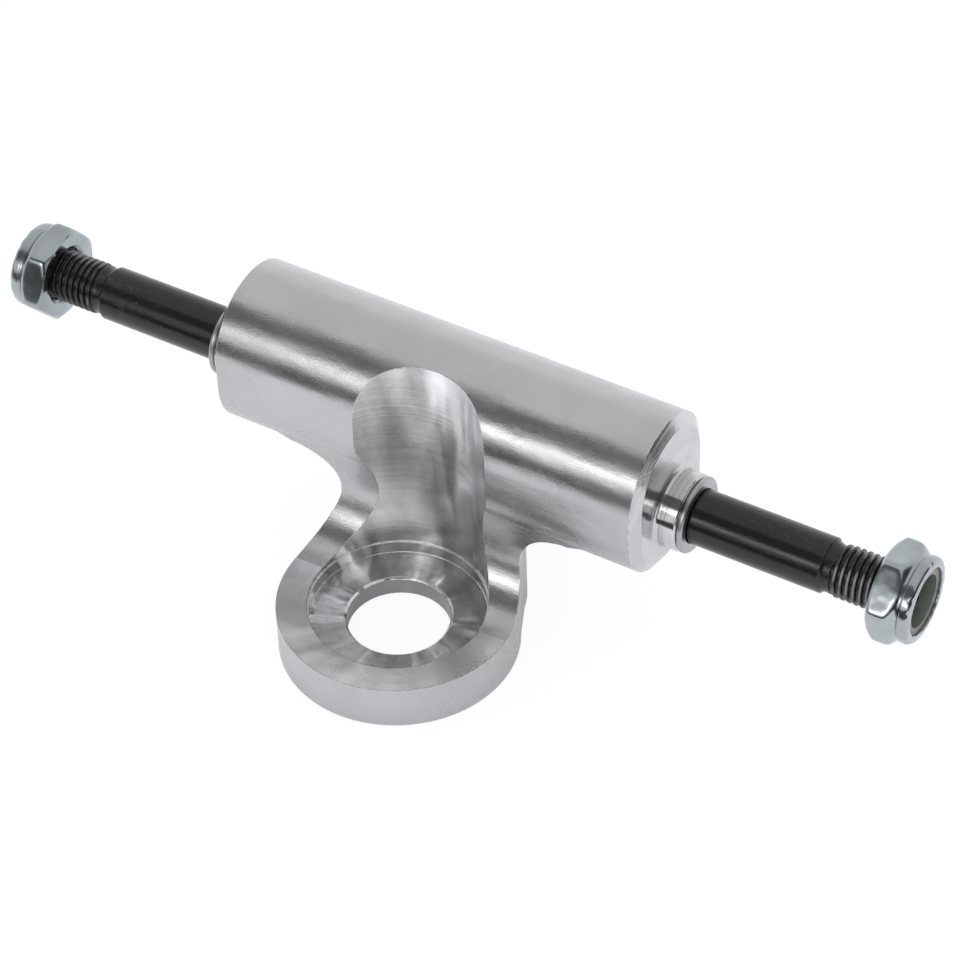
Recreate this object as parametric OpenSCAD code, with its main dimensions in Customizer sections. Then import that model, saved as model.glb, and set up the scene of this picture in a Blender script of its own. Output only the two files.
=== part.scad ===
// Roller skate truck: a machined hanger with its axle, speed washers, lock nuts and pivot pin.
// Lengths are in millimetres and angles in degrees.
// The origin is on the kingpin's axis, on the floor of the cup that holds the cushion.
// X runs along the axle, Y from the eye towards the barrel, and Z up along the kingpin.

/* [Eye] */
// Radius of the kingpin hole
kingpin_r = 7.4; // [5:0.1:9]
// Thickness of the floor that the cushions press on
floor_t = 3; // [2:0.1:4]
// Radius of the cushion cups above and below the floor
cup_r = 12.7; // [11:0.1:12.8]
// Height of the turned wall of the upper cup
cup_h = 2; // [1.2:0.1:2.4]
// Depth of the lower cup
under_cup_h = 1.5; // [0.8:0.1:4]
// Radius of the scoop that clears the cushion, from the cup up through the barrel
scoop_r = 12.9; // [12.9:0.1:13.6]
// Outer radius of the eye and of the neck behind it
eye_r = 17.3; // [16.4:0.1:19]
// Height of the eye's rim above the floor
rim_h = 2.8; // [2.5:0.1:5]

/* [Neck] */
// Radius of the hollow that sweeps from the rim up the front of the neck
neck_cut_r = 9.6; // [9:0.1:10.5]
// Radius of the gentler hollow above it, up to the barrel
neck_lean_r = 15; // [14.8:0.1:16]
// Distance from the kingpin's axis back to the front of the neck
neck_front = 9.65; // [9:0.05:10.5]
// Radius of the neck's narrower back
neck_back_r = 13.2; // [12.5:0.1:14]
// Distance from the kingpin's axis to the centre of that back
neck_back_y = 10; // [9:0.1:11]
// How far inside the round front and back the flat sides lie
neck_side_in = 0.15; // [0.1:0.05:0.3]
// Distance from the kingpin's axis to the flat at the back of the neck
neck_flat = 22; // [20.5:0.1:22.5]
// Radius of the flare that joins the neck to the barrel
flare_r = 7; // [5:0.1:7.5]
// Height of the barrel's underside above the top of the flare
flare_sink = 3.5; // [3:0.1:4.2]
// Height that the flare goes on rising past its round part, inside the barrel
flare_rise = 1.2; // [0.8:0.1:1.6]

/* [Barrel] */
// Radius of the barrel's round underside and top
barrel_r = 10.1; // [9.6:0.1:11]
// Height of the barrel's section
barrel_tall = 24.5; // [22:0.1:27]
// Distance from the middle of the truck to the crisp edge at the barrel's end
barrel_half = 33.2; // [28:0.05:36]
// Length of the chamfer at each end of the barrel
chamfer_len = 1.05; // [0.5:0.05:2]
// How far that chamfer reaches in from the barrel's surface
chamfer_in = 1.7; // [0.5:0.1:2.5]
// Height of the barrel's lower centre line above the axle
barrel_lift = 0.6; // [0:0.1:1]
// Distance from the axle forward to the middle of the barrel
barrel_lead = 0.65; // [0:0.05:1]

/* [Bosses] */
// Radius of the boss at each end of the barrel
boss_r = 5.65; // [5.2:0.05:7]
// Length of each boss
boss_len = 3.2; // [2:0.1:5]
// Radius of the fillet at the root of each boss
boss_fillet = 0.7; // [0.3:0.1:1.2]
// Chamfer on small machined edges
edge_break = 0.3; // [0.1:0.05:0.4]

/* [Axle] */
// Radius of the axle where the wheel bearings sit
axle_r = 4; // [3.5:0.05:4.1]
// Height of the axle above the cup floor
axle_z = 22.3; // [21.5:0.1:24]
// Metal left between the scoop and the bearing size of the axle
scoop_wall = 1.1; // [0.8:0.1:2]
// Extra radius of the axle where it is pressed into the hanger
press_extra = 0.2; // [0.2:0.05:0.4]
// Length of the bearing seat outside each washer
seat_len = 20; // [16:0.1:26]
// Length of the relief between bearing seat and thread
relief_len = 1.2; // [0.8:0.1:2]
// Depth of the reliefs at both ends of the bearing seat
relief_depth = 0.45; // [0.3:0.05:0.6]
// Length of the thread at each end
thread_len = 10.4; // [8:0.1:14]
// Radius of the thread's crests
thread_r = 3.8; // [3.4:0.05:3.85]
// Distance from one turn of thread to the next
thread_pitch = 1; // [0.75:0.05:1.25]
// Depth of the thread
thread_depth = 0.5; // [0.3:0.05:0.6]

/* [Washers] */
// Outer radius of each speed washer
washer_r = 5.6; // [5.2:0.05:6.5]
// Thickness of each speed washer
washer_t = 0.9; // [0.6:0.05:1.5]

/* [Lock nuts] */
// Width of a lock nut across its flats
nut_af = 13; // [12.7:0.1:14]
// Height of the hexagon of a lock nut
nut_hex_h = 4.2; // [3.8:0.1:5.5]
// Height of the round collar above the hexagon
collar_h = 1.9; // [1.8:0.1:3]
// Outer radius of the collar
collar_r = 6.3; // [6.2:0.05:6.4]
// Radius of the opening in the rolled rim of the collar
rim_hole_r = 4.95; // [4.7:0.05:5.1]
// Thickness of the collar's wall round the locking ring
collar_wall = 0.75; // [0.6:0.05:0.8]
// Radius of the collar's rolled top edge
collar_roll_r = 0.8; // [0.5:0.1:1]
// Thickness of the rim that is rolled over the locking ring
rim_t = 0.35; // [0.3:0.05:0.5]
// How far the waist between the hexagon and the collar is turned in
waist_in = 0.25; // [0.1:0.05:0.4]
// Height over which the waist widens to the collar
waist_h = 0.5; // [0.3:0.1:0.8]
// Height that the chamfer takes off the hexagon's corners below the collar
corner_chamfer = 1.3; // [0.8:0.1:1.8]
// Height that the chamfer takes off the corners at the plain face of a nut
foot_chamfer = 0.65; // [0.4:0.05:0.9]
// Depth of the countersink where the thread enters a lock nut
nut_sink = 0.8; // [0.3:0.1:1]
// Height of the nylon locking ring
insert_h = 1.9; // [1.5:0.1:2.2]
// Distance that each nut has been started on the thread
nut_start = 3.4; // [2:0.1:6]
// How far the right nut's corners are turned
turn_right = 17.6; // [0:0.1:60]
// How far the left nut's corners are turned
turn_left = 38.7; // [0:0.1:60]

/* [Pivot pin] */
// Angle that the pivot pin drops below the level of the cup floor
pivot_drop = 35; // [30:1:40]
// Radius of the pivot pin's thread
pivot_thread_r = 4; // [3.5:0.1:4.2]
// Radius of the pivot pin's body and round tip
pivot_r = 4.5; // [4.3:0.1:5]
// Length of the straight part of the pivot pin's body
pivot_straight = 7.5; // [5:0.1:12]
// Radius of the boss that the pivot pin screws into
pivot_boss_r = 7; // [6.5:0.1:8]
// Height of that boss above the barrel
pivot_boss_h = 2.1; // [1:0.1:4]
// Metal left between the pivot pin's hole and the axle
pivot_wall = 1.5; // [1:0.1:2]
// Width across the flats of the jam nut
jam_af = 13; // [12.5:0.1:14]
// Height of the jam nut
jam_h = 4; // [3:0.1:5]

/* [Clearances] */
// Gap round the axle in the hanger, and round the pivot pin's thread
press_gap = 0.02; // [0.01:0.01:0.05]
// Running gap round the axle in washers, nuts and locking rings
run_gap = 0.06; // [0.02:0.01:0.1]
// Gap between faces that stand against each other
face_gap = 0.05; // [0.02:0.01:0.1]

/* [Hidden] */

// Degrees of arc in each straight step of a turned fillet, of the flare along the neck's sides,
// of the flare round its back, and of the hollow up its front
arc_step = 7.5;
side_step = 6;
back_step = 9;
hollow_step = 3;
// How much lower the flares along the sides and round the back lie than the flare round the front
side_lag = 0.1;
back_lag = 0.05;
// Sides of the round surfaces as drawn on screen
$fn = 96;
// Spare length that a cutting tool runs past a face
over = 1;
// How far inside the flats the flat face of a nut ends
face_inset = 0.1;
// How far the cone that cuts a nut's chamfer goes on, as parts of the way to the corner
chamfer_past = 1.2;
// Where the crest of a thread begins and ends, as parts of its pitch
crest_from = 0.4;
crest_to = 0.6;

axle_y = scoop_r + scoop_wall + axle_r;
press_r = axle_r + press_extra;

barrel_y = axle_y - barrel_lead;
barrel_low_z = axle_z + barrel_lift;
barrel_rise = barrel_tall - 2 * barrel_r;
barrel_face = barrel_half + chamfer_len;
boss_face = barrel_face + boss_len;

flare_top = barrel_low_z - barrel_r + flare_sink;
flare_run = 2 * flare_rise;
neck_cut_y = neck_front - neck_cut_r;
neck_cut_z = rim_h + neck_cut_r;
column_top = flare_top + (barrel_low_z - flare_top) / 3;
eye_low_z = -floor_t - under_cup_h;
side_angle = asin((eye_r - neck_back_r) / neck_back_y);
neck_side_len = neck_back_y * cos(side_angle);
hollow_reach = eye_r + flare_r + flare_run + over;
hollow_end = asin((column_top + over - neck_cut_z) / neck_lean_r);

washer_face = boss_face + face_gap + washer_t;
seat_end = washer_face + seat_len;
thread_start = seat_end + relief_len;
axle_half = thread_start + thread_len;
nut_face = axle_half - nut_start;
nut_h = nut_hex_h + collar_h;
nut_corner_r = nut_af / 2 / cos(30);
nut_face_r = nut_af / 2 - face_inset;
waist_r = collar_r - waist_in;
jam_corner_r = jam_af / 2 / cos(30);
jam_face_r = jam_af / 2 - face_inset;
nut_bore_r = thread_r + run_gap;
pocket_r = collar_r - collar_wall;
insert_floor = nut_h - rim_t - insert_h - 2 * face_gap;

pivot_axle_s = barrel_lead * cos(pivot_drop) + barrel_lift * sin(pivot_drop);
pivot_hole_s = pivot_axle_s + press_r + press_gap + pivot_wall;
pivot_boss_s = barrel_r + pivot_boss_h;
pivot_root_s = barrel_r / 2;
jam_s = pivot_boss_s + face_gap;
pivot_shoulder_s = jam_s + jam_h + edge_break;
pivot_body_s = pivot_shoulder_s + 2 * (pivot_r - pivot_thread_r);

steel_black = [0.13, 0.13, 0.14];
zinc = [0.74, 0.77, 0.80];
aluminium = [0.80, 0.81, 0.82];
nylon = [0.46, 0.46, 0.42];

// Points on an arc about (cx, cy) from angle a0 to angle a1.
function arc(cx, cy, r, a0, a1, step = arc_step) =
    let (n = ceil(abs(a1 - a0) / step))
    [for (i = [0 : n]) let (a = a0 + (a1 - a0) * i / n) [cx + r * cos(a), cy + r * sin(a)]];

// The outline of a threaded rod of crest radius r from height z0 up to z1, as [radius, height].
function thread_points(r, depth, pitch, z0, z1) =
    let (turns = floor((z1 - z0 - 2 * depth) / pitch), first = z1 - depth - turns * pitch)
    concat([[r - depth, z0], [r - depth, first]],
           [for (i = [0 : turns - 1]) let (z = first + i * pitch)
               each [[r, z + crest_from * pitch], [r, z + crest_to * pitch], [r - depth, z + pitch]]],
           [[r - depth, z1]]);

// The point that lies beyond (x1, y1) on the line to it from (x0, y0), where a chamfer is clear of a corner.
function past(x0, y0, x1, y1) = [x0 + chamfer_past * (x1 - x0), y0 + chamfer_past * (y1 - y0)];

// Lays a shape whose axis is Z along X, with its foot at distance x and its axis on the axle.
module on_axle(x = 0) {
    translate([x, axle_y, axle_z]) rotate([0, 90, 0]) children();
}

// Places a shape for the right end at the right, or turned round for the left.
module at_end(side) {
    if (side > 0) children();
    if (side < 0) mirror([1, 0, 0]) children();
}

// Lays a shape whose axis is Z along the pivot pin, with its foot at distance s from the barrel's centre.
module on_pivot(s = 0) {
    translate([0, barrel_y, barrel_low_z]) rotate([-90 - pivot_drop, 0, 0]) translate([0, 0, s]) children();
}

module hex_prism(af, h) {
    cylinder(h = h, r = af / 2 / cos(30), $fn = 6);
}

// The barrel: a tall section with round top and underside, chamfered all round both ends.
module barrel() {
    for (z = [barrel_low_z, barrel_low_z + barrel_rise])
        translate([0, barrel_y, z]) rotate([0, 90, 0])
            rotate_extrude()
                polygon([[0, -barrel_face], [barrel_r - chamfer_in, -barrel_face], [barrel_r, -barrel_half],
                         [barrel_r, barrel_half], [barrel_r - chamfer_in, barrel_face], [0, barrel_face]]);
    translate([0, barrel_y, barrel_low_z])
        linear_extrude(barrel_rise)
            polygon([[-barrel_face, chamfer_in - barrel_r], [-barrel_half, -barrel_r],
                     [barrel_half, -barrel_r], [barrel_face, chamfer_in - barrel_r],
                     [barrel_face, barrel_r - chamfer_in], [barrel_half, barrel_r],
                     [-barrel_half, barrel_r], [-barrel_face, barrel_r - chamfer_in]]);
}

// The boss that the speed washer lies against, with a fillet at its root.
module end_boss() {
    on_axle()
        rotate_extrude()
            polygon(concat([[0, barrel_face - chamfer_len], [boss_r + boss_fillet, barrel_face - chamfer_len]],
                           arc(boss_r + boss_fillet, barrel_face + boss_fillet, boss_fillet, 270, 180),
                           [[boss_r, boss_face - edge_break], [boss_r - edge_break, boss_face], [0, boss_face]]));
}

// The outline of the eye and of the flare above it, as [radius, height].
eye_points = concat(
    [[0, eye_low_z], [eye_r - edge_break, eye_low_z], [eye_r, eye_low_z + edge_break]],
    arc(eye_r + flare_r, flare_top - flare_r, flare_r, 180, 90),
    [[eye_r + flare_r + flare_run, flare_top + flare_rise], [eye_r + flare_r + flare_run, column_top],
     [0, column_top]]);

// The outline of the rest of the neck, as [distance, height], which lies lower than the eye's by lag.
function neck_points(r, lag, step) =
    let (fillet = flare_r + 2 * lag, top = flare_top - lag, reach = r + fillet + flare_run)
    concat([[0, eye_low_z + lag], [r, eye_low_z + lag]],
           arc(r + fillet, top - fillet, fillet, 180, 90, step),
           [[reach, top + flare_rise], [reach, column_top - 4 * lag], [0, column_top - 4 * lag]]);

// The hollow up the front of the neck and all that lies in front of it, as [distance back, height].
hollow_points = concat(
    [[-hollow_reach, rim_h]],
    arc(neck_cut_y, neck_cut_z, neck_cut_r, -90, 0, hollow_step),
    arc(neck_front - neck_lean_r, neck_cut_z, neck_lean_r, hollow_step, hollow_end, hollow_step),
    [[-hollow_reach, neck_cut_z + neck_lean_r * sin(hollow_end)]]);

// One side of the neck, from its round front to its round back.
module neck_side() {
    rotate([0, 0, side_angle])
        translate([0, neck_side_len, 0]) rotate([90, 0, 0])
            linear_extrude(neck_side_len) polygon(neck_points(eye_r - neck_side_in, side_lag, side_step));
}

// The eye, and the neck that flares out under the barrel, cut hollow in front and flat behind.
module neck() {
    difference() {
        union() {
            rotate_extrude() polygon(eye_points);
            neck_side();
            mirror([1, 0, 0]) neck_side();
            translate([0, neck_back_y, 0])
                rotate_extrude() polygon(neck_points(neck_back_r, back_lag, back_step));
        }
        translate([-hollow_reach, 0, 0]) rotate([90, 0, 90]) linear_extrude(2 * hollow_reach) polygon(hollow_points);
        translate([-hollow_reach, neck_flat, eye_low_z - over]) cube(2 * hollow_reach);
    }
}

module hanger() {
    color(aluminium)
        difference() {
            union() {
                barrel();
                end_boss();
                mirror([1, 0, 0]) end_boss();
                neck();
                on_pivot(pivot_root_s)
                    cylinder(h = pivot_boss_s - pivot_root_s - edge_break, r = pivot_boss_r);
                on_pivot(pivot_boss_s - edge_break)
                    cylinder(h = edge_break, r1 = pivot_boss_r, r2 = pivot_boss_r - edge_break);
            }
            translate([0, 0, cup_h]) cylinder(h = barrel_low_z + barrel_tall, r = scoop_r);
            cylinder(h = cup_h + over, r = cup_r);
            translate([0, 0, -floor_t - over]) cylinder(h = floor_t + 2 * over, r = kingpin_r);
            translate([0, 0, -edge_break])
                cylinder(h = edge_break + over, r1 = kingpin_r, r2 = kingpin_r + edge_break + over);
            translate([0, 0, eye_low_z - over]) cylinder(h = under_cup_h + over, r = cup_r);
            on_axle(-boss_face - over) cylinder(h = 2 * (boss_face + over), r = press_r + press_gap);
            on_pivot(pivot_hole_s) cylinder(h = pivot_boss_s, r = pivot_thread_r + press_gap);
        }
}

// Half of the axle's outline, from its middle out to the end of the thread, as [radius, distance].
axle_points = concat(
    [[0, 0], [press_r, 0], [press_r, boss_face - edge_break], [axle_r - relief_depth, boss_face - edge_break],
     [axle_r - relief_depth, washer_face], [axle_r, washer_face], [axle_r, seat_end - edge_break],
     [axle_r - edge_break, seat_end], [axle_r - relief_depth - edge_break, seat_end]],
    thread_points(thread_r, thread_depth, thread_pitch, thread_start, axle_half),
    [[0, axle_half]]);

module axle() {
    color(steel_black)
        on_axle() {
            rotate_extrude() polygon(axle_points);
            mirror([0, 0, 1]) rotate_extrude() polygon(axle_points);
        }
}

// A thin washer with a rounded outer edge, standing against the boss.
module washer(side) {
    color(zinc)
        at_end(side)
            on_axle(boss_face + face_gap)
                rotate_extrude()
                    polygon(concat([[axle_r + run_gap, 0]],
                                   arc(washer_r - washer_t / 2, washer_t / 2, washer_t / 2, -90, 90),
                                   [[axle_r + run_gap, washer_t]]));
}

// The rolled collar of a lock nut, outside only, as [radius, height above the nut's inner face].
collar_points = concat(
    [[0, nut_hex_h - over], [waist_r, nut_hex_h - over], [waist_r, nut_hex_h + waist_h / 4],
     [collar_r, nut_hex_h + waist_h]],
    arc(collar_r - collar_roll_r, nut_h - collar_roll_r, collar_roll_r, 0, 90),
    [[0, nut_h]]);

module nut(side, turn) {
    color(zinc)
        at_end(side)
            on_axle(nut_face)
                difference() {
                    union() {
                        intersection() {
                            rotate([0, 0, turn]) hex_prism(nut_af, nut_hex_h);
                            rotate_extrude()
                                polygon([[0, 0], [nut_face_r, 0],
                                         past(nut_face_r, 0, nut_corner_r, foot_chamfer),
                                         past(waist_r, nut_hex_h, nut_corner_r, nut_hex_h - corner_chamfer),
                                         [waist_r, nut_hex_h], [0, nut_hex_h]]);
                        }
                        rotate_extrude() polygon(collar_points);
                    }
                    translate([0, 0, -over]) cylinder(h = nut_h, r = nut_bore_r);
                    cylinder(h = nut_sink, r1 = nut_bore_r + nut_sink, r2 = nut_bore_r);
                    translate([0, 0, insert_floor]) cylinder(h = nut_h - rim_t - insert_floor, r = pocket_r);
                    translate([0, 0, insert_floor]) cylinder(h = nut_h, r = rim_hole_r);
                }
}

// The nylon ring that grips the thread, held in the nut's collar.
module nut_insert(side) {
    color(nylon)
        at_end(side)
            on_axle(nut_face + insert_floor + face_gap)
                difference() {
                    union() {
                        cylinder(h = insert_h - edge_break, r = pocket_r - face_gap);
                        cylinder(h = insert_h, r = pocket_r - face_gap - edge_break);
                    }
                    translate([0, 0, -over]) cylinder(h = insert_h + 2 * over, r = nut_bore_r);
                }
}

module pivot_pin() {
    color(steel_black)
        on_pivot()
            rotate_extrude()
                polygon(concat([[0, pivot_hole_s + face_gap]],
                               thread_points(pivot_thread_r, thread_depth, thread_pitch,
                                             pivot_hole_s + face_gap, pivot_shoulder_s),
                               [[pivot_thread_r, pivot_shoulder_s], [pivot_r, pivot_body_s]],
                               arc(0, pivot_body_s + pivot_straight, pivot_r, 0, 90)));
}

module pivot_jam_nut() {
    color(zinc)
        on_pivot(jam_s)
            difference() {
                intersection() {
                    hex_prism(jam_af, jam_h);
                    rotate_extrude()
                        polygon([[0, 0], [jam_face_r, 0],
                                 past(jam_face_r, 0, jam_corner_r, foot_chamfer),
                                 past(jam_face_r, jam_h, jam_corner_r, jam_h - foot_chamfer),
                                 [jam_face_r, jam_h], [0, jam_h]]);
                }
                translate([0, 0, -over]) cylinder(h = jam_h + 2 * over, r = pivot_thread_r + press_gap);
            }
}

hanger();
axle();
washer(-1);  // washer_left
washer(1);  // washer_right
nut(-1, turn_left);  // nut_left
nut(1, turn_right);  // nut_right
nut_insert(-1);  // nut_insert_left
nut_insert(1);  // nut_insert_right
pivot_pin();
pivot_jam_nut();
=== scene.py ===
"""Looks for a roller skate truck: machined hanger, black axle, washers, lock nuts and pivot pin."""

import logging
import math
from collections.abc import Callable
from dataclasses import dataclass, field
from enum import Enum, IntEnum

import bmesh
import bpy
from mathutils import Matrix, Vector


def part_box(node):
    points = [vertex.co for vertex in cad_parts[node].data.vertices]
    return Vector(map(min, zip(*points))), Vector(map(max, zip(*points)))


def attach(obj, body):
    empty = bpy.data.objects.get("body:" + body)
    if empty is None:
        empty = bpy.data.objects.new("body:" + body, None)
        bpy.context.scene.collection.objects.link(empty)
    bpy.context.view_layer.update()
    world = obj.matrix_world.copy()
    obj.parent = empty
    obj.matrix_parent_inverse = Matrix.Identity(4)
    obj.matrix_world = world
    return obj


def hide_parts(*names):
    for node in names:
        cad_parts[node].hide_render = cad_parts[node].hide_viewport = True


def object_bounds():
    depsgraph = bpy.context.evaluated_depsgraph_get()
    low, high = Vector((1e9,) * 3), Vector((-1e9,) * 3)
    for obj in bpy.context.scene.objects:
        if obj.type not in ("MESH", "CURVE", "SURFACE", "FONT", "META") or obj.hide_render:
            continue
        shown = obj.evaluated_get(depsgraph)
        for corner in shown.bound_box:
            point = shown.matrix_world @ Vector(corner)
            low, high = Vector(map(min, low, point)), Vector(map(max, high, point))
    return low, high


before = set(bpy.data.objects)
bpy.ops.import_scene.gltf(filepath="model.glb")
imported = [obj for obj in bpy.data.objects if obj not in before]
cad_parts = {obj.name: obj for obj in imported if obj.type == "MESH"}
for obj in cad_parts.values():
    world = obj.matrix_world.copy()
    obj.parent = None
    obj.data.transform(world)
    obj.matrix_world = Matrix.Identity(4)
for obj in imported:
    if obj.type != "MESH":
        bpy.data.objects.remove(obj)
cad_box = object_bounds()

log = logging.getLogger("truck")

MM = 0.001
CLOTHED_ANGLE = 30.0
WELD = 0.002 * MM
SLIVER = 0.001 * MM

Node = bpy.types.Node
Socket = bpy.types.NodeSocket
Point = tuple[float, float, float]


def middle(node: str) -> Vector:
    """The middle of a CAD node's box.

    Args:
        node: Name of the CAD node.

    Returns:
        The point, in metres.
    """
    low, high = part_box(node)
    return (low + high) / 2


AXLE_MIDDLE = middle("axle")
AXLE_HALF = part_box("axle")[1].x


class Side(Enum):
    """An end of the axle."""

    LEFT = -1
    RIGHT = 1

    @property
    def word(self) -> str:
        """The side's name as the CAD nodes and bodies have it."""
        return self.name.lower()


class Turning(Enum):
    """The line that a surface was turned about on a lathe."""

    EYE = "eye"
    AXLE = "axle"

    @property
    def centre(self) -> Point:
        """A point on that line, in metres."""
        return (0.0, 0.0, 0.0) if self is Turning.EYE else tuple(AXLE_MIDDLE)

    @property
    def direction(self) -> Point:
        """The way that line runs."""
        return (0.0, 0.0, 1.0) if self is Turning.EYE else (1.0, 0.0, 0.0)


# Shader nodes


class Board:
    """Places and joins nodes in one material, world or node group."""

    def __init__(self, tree: bpy.types.NodeTree) -> None:
        """Starts on an empty tree.

        Args:
            tree: The node tree to fill.
        """
        self.tree = tree
        tree.nodes.clear()

    def add(self, kind: str, **settings: object) -> Node:
        """Adds a node.

        Args:
            kind: Blender's name for the node type.
            settings: The node's own properties.

        Returns:
            The node.
        """
        node = self.tree.nodes.new(kind)
        for name, value in settings.items():
            setattr(node, name, value)
        return node

    def feed(self, node: Node, **inputs: object) -> Node:
        """Sets or joins inputs of a node, by name with _ for a space.

        Args:
            node: The node.
            inputs: A socket to join, or a value to set.

        Returns:
            The same node.
        """
        for name, value in inputs.items():
            target = node.inputs[name.replace("_", " ")]
            if isinstance(value, Socket):
                self.tree.links.new(value, target)
            else:
                target.default_value = value
        return node

    def join(self, value: object, target: Socket) -> None:
        """Joins a socket to an input, or sets the input to a value.

        Args:
            value: A socket or a value.
            target: The input.
        """
        if isinstance(value, Socket):
            self.tree.links.new(value, target)
        else:
            target.default_value = value

    def math(self, operation: str, *values: object, clamp: bool = False) -> Socket:
        """A sum on numbers.

        Args:
            operation: Blender's name for the sum.
            values: Sockets or numbers.
            clamp: Whether the answer is kept between 0 and 1.

        Returns:
            The answer's socket.
        """
        node = self.add("ShaderNodeMath", operation=operation, use_clamp=clamp)
        for target, value in zip(node.inputs, values):
            self.join(value, target)
        return node.outputs[0]

    def vector(self, operation: str, *values: object, output: str = "Vector", **inputs: object) -> Socket:
        """A sum on vectors.

        Args:
            operation: Blender's name for the sum.
            values: Sockets or vectors.
            output: Which answer is wanted.
            inputs: Other inputs, by name.

        Returns:
            The answer's socket.
        """
        node = self.add("ShaderNodeVectorMath", operation=operation)
        for target, value in zip(node.inputs, values):
            self.join(value, target)
        self.feed(node, **inputs)
        return node.outputs[output]

    def band(
        self, value: Socket, low: float, high: float, out_low: float = 0.0, out_high: float = 1.0
    ) -> Socket:
        """Maps a number smoothly from one range to another.

        Args:
            value: The number.
            low: Where the first range starts.
            high: Where it ends.
            out_low: The answer at low.
            out_high: The answer at high.

        Returns:
            The answer's socket.
        """
        node = self.add("ShaderNodeMapRange", interpolation_type="SMOOTHSTEP")
        self.feed(node, Value=value, From_Min=low, From_Max=high, To_Min=out_low, To_Max=out_high)
        return node.outputs["Result"]

    def noise(self, place: Socket, scale: float, detail: float = 2.0, rough: float = 0.5) -> Socket:
        """Soft noise from 0 to 1.

        Args:
            place: Where to read it.
            scale: Grains in a metre.
            detail: How many finer layers it has.
            rough: How strong those are.

        Returns:
            The noise's socket.
        """
        node = self.add("ShaderNodeTexNoise", noise_dimensions="3D")
        self.feed(node, Vector=place, Scale=scale, Detail=detail, Roughness=rough)
        return node.outputs["Fac"]

    def mix(self, factor: object, first: object, second: object) -> Socket:
        """Mixes two colours.

        Args:
            factor: Share of the second.
            first: A colour or its socket.
            second: A colour or its socket.

        Returns:
            The colour's socket.
        """
        node = self.add("ShaderNodeMix", data_type="RGBA", clamp_factor=True)
        colours = [s for s in node.inputs if s.type == "RGBA"]
        self.join(factor, node.inputs[0])
        self.join(first, colours[0])
        self.join(second, colours[1])
        return next(s for s in node.outputs if s.type == "RGBA")

    def bump(self, height: object, strength: float, depth: float, normal: Socket | None = None) -> Socket:
        """Turns a height into a normal.

        Args:
            height: Height from 0 to 1.
            strength: How much of it shows.
            depth: Depth of a height of 1, in metres.
            normal: The normal that it adds to.

        Returns:
            The normal's socket.
        """
        node = self.feed(self.add("ShaderNodeBump"), Strength=strength, Distance=depth, Height=height)
        if normal:
            self.feed(node, Normal=normal)
        return node.outputs["Normal"]

    def group(self, tree: bpy.types.NodeTree, **inputs: object) -> Node:
        """Places a node group.

        Args:
            tree: The group.
            inputs: Its inputs, by name.

        Returns:
            The group's node.
        """
        node = self.add("ShaderNodeGroup")
        node.node_tree = tree
        return self.feed(node, **inputs)


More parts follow.
